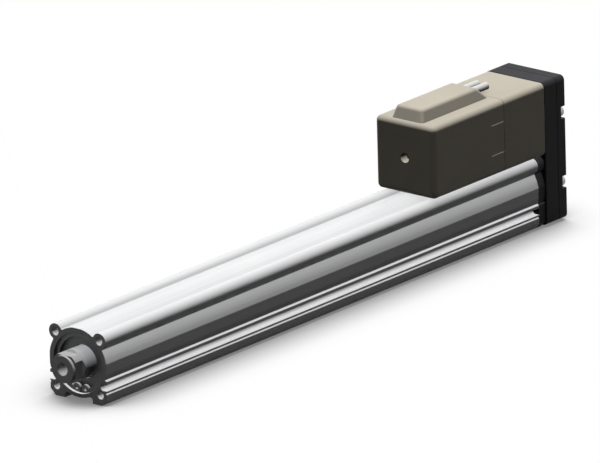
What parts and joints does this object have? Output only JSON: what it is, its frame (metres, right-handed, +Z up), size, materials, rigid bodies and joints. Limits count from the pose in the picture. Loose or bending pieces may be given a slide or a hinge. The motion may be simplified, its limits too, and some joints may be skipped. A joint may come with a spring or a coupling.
{
  "type": "electric cylinder",
  "caption": "Belt-driven ball-screw electric cylinder with an extruded body, a threaded rod end and a square motor mounted in parallel above the body.",
  "frame": {"origin": "on the rod's axis, in the plane of the front mounting face, at the centre of the four bolts", "axes": "+X out of the front, the way the rod travels; +Z up, towards the motor"},
  "size_m": [0.4555, 0.046, 0.1005],
  "materials": {
    "anodised_aluminium": "clear anodised, satin",
    "black_casting": "black paint, satin",
    "grey_paint": "warm light grey paint, satin",
    "hard_chrome": "hard chromed and ground",
    "machined_steel": "turned, bright",
    "black_steel": "black oxide",
    "bearing_steel": "ground",
    "bronze": "sintered bronze",
    "black_rubber": "matt",
    "nylon": "moulded",
    "white_sheath": "cable sheath, matt",
    "magnet": "sintered magnet",
    "lamination": "stacked laminations",
    "copper": "enamelled wire",
    "circuit_board": "solder mask"
  },
  "bodies": {
    "housing": {"body_tube": "anodised_aluminium", "retaining_ring": "black_steel", "rod_cover": "anodised_aluminium", "rod_scraper": "black_rubber", "rod_bushing": "bronze", "front_bumper": "black_rubber", "bearing_housing": "black_casting", "bearing_outer_ring": "bearing_steel", "bearing_balls": "bearing_steel", "bearing_stopper": "machined_steel", "housing_bolts": "black_steel", "return_box": "black_casting", "return_plate": "black_casting", "plate_screws": "machined_steel", "timing_belt": "black_rubber", "motor_block": "grey_paint", "motor_cover": "grey_paint", "cable_grommet": "black_rubber", "cable_clamp": "nylon", "motor_cable": "white_sheath", "encoder_cable": "white_sheath", "motor_front_bell": "machined_steel", "motor_rear_bell": "machined_steel", "stator_core": "lamination", "stator_coils": "copper", "motor_bearings": "bearing_steel", "motor_mount_screws": "machined_steel", "encoder_board": "circuit_board", "encoder_standoffs": "machined_steel"},
    "rod": {"piston_rod": "hard_chrome", "rod_socket": "machined_steel", "piston": "anodised_aluminium", "magnet_ring": "magnet", "ball_nut": "bearing_steel", "rotation_stopper": "nylon", "wear_ring_holder": "nylon", "wear_ring": "nylon"},
    "screw": {"ball_screw": "bearing_steel", "screw_end_ring": "nylon", "bearing_inner_ring": "bearing_steel", "lock_nut": "black_steel", "screw_pulley": "anodised_aluminium", "screw_pulley_key": "machined_steel", "screw_pulley_retainer": "machined_steel"},
    "rotor": {"motor_shaft": "machined_steel", "rotor_core": "lamination", "motor_pulley": "anodised_aluminium", "motor_pulley_key": "machined_steel", "motor_pulley_retainer": "machined_steel", "encoder_disc": "nylon", "override_screw": "machined_steel"}
  },
  "joints": [
    {"name": "rod_slide", "type": "slide", "parent": "housing", "child": "rod", "axis": [1, 0, 0], "range_m": [0, 0.3]},
    {"name": "screw_spin", "type": "hinge", "parent": "housing", "child": "screw", "pos_m": [-0.412, 0, 0], "axis": [-1, 0, 0], "range_deg": [0, 9000]},
    {"name": "motor_spin", "type": "hinge", "parent": "housing", "child": "rotor", "pos_m": [-0.386, 0, 0.046], "axis": [-1, 0, 0], "range_deg": [0, 9000]}
  ],
  "couplings": [
    {"joint": "screw_spin", "follows": "rod_slide", "rad_per_m": 523.6},
    {"joint": "motor_spin", "follows": "rod_slide", "rad_per_m": 523.6}
  ]
}
